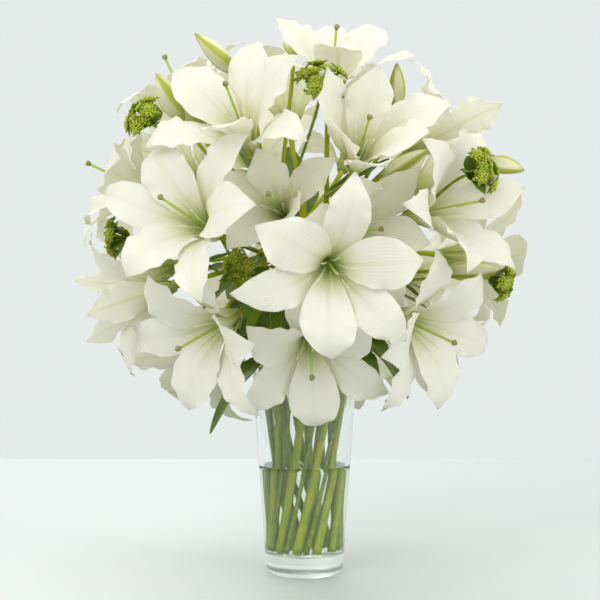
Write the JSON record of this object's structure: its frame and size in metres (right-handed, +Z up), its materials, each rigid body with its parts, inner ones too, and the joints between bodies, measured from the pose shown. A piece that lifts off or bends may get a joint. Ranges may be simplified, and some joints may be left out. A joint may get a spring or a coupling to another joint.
{
  "type": "lilies in a vase",
  "caption": "Rounded bouquet of open white lilies, buds and green filler sprays standing in a tapered clear glass vase half filled with water.",
  "frame": {"origin": "centre of the vase's flat base, on the surface that it stands on", "axes": "+Z up along the vase's axis, -Y towards the side that the picture shows"},
  "size_m": [0.4151, 0.4224, 0.5209],
  "materials": {
    "vase_glass": "clear polished soda-lime glass with a thick foot",
    "water": "clear still water",
    "lily_green": "smooth satin yellow-green stems, leaves, pistils and filaments",
    "filler_green": "matt leaf green",
    "petal_white": "matt translucent white with faint lengthwise ribs, green towards the throat",
    "bud_pale": "satin white with yellow-green ribs"
  },
  "bodies": {
    "root": {"vase": "vase_glass", "water": "water", "lily_stem_01": "lily_green", "lily_stem_02": "lily_green", "lily_stem_03": "lily_green", "lily_stem_04": "lily_green", "lily_stem_05": "lily_green", "lily_stem_06": "lily_green", "lily_stem_07": "lily_green", "lily_stem_08": "lily_green", "lily_stem_09": "lily_green", "lily_stem_10": "lily_green", "lily_stem_11": "lily_green", "lily_stem_12": "lily_green", "filler_stem_01": "filler_green", "filler_stem_02": "filler_green", "filler_stem_03": "filler_green", "filler_stem_04": "filler_green", "filler_stem_05": "filler_green", "filler_stem_06": "filler_green", "bloom_01": "petal_white", "bloom_02": "petal_white", "bloom_03": "petal_white", "bloom_04": "petal_white", "bloom_05": "petal_white", "bloom_06": "petal_white", "bloom_07": "petal_white", "bloom_08": "petal_white", "bloom_09": "petal_white", "bloom_10": "petal_white", "bloom_11": "petal_white", "bloom_12": "petal_white", "bloom_13": "petal_white", "bloom_14": "petal_white", "bloom_15": "petal_white", "bloom_16": "petal_white", "bloom_17": "petal_white", "bloom_18": "petal_white", "bloom_19": "petal_white", "bloom_20": "petal_white", "bloom_21": "petal_white", "bloom_22": "petal_white", "bloom_23": "petal_white", "bloom_24": "petal_white", "bloom_25": "petal_white", "bloom_26": "petal_white", "bloom_27": "petal_white", "bloom_28": "petal_white", "bud_01": "bud_pale", "bud_02": "bud_pale", "bud_03": "bud_pale", "bud_04": "bud_pale", "bud_05": "bud_pale", "bud_06": "bud_pale", "bud_07": "bud_pale", "bud_08": "bud_pale"}
  },
  "joints": []
}
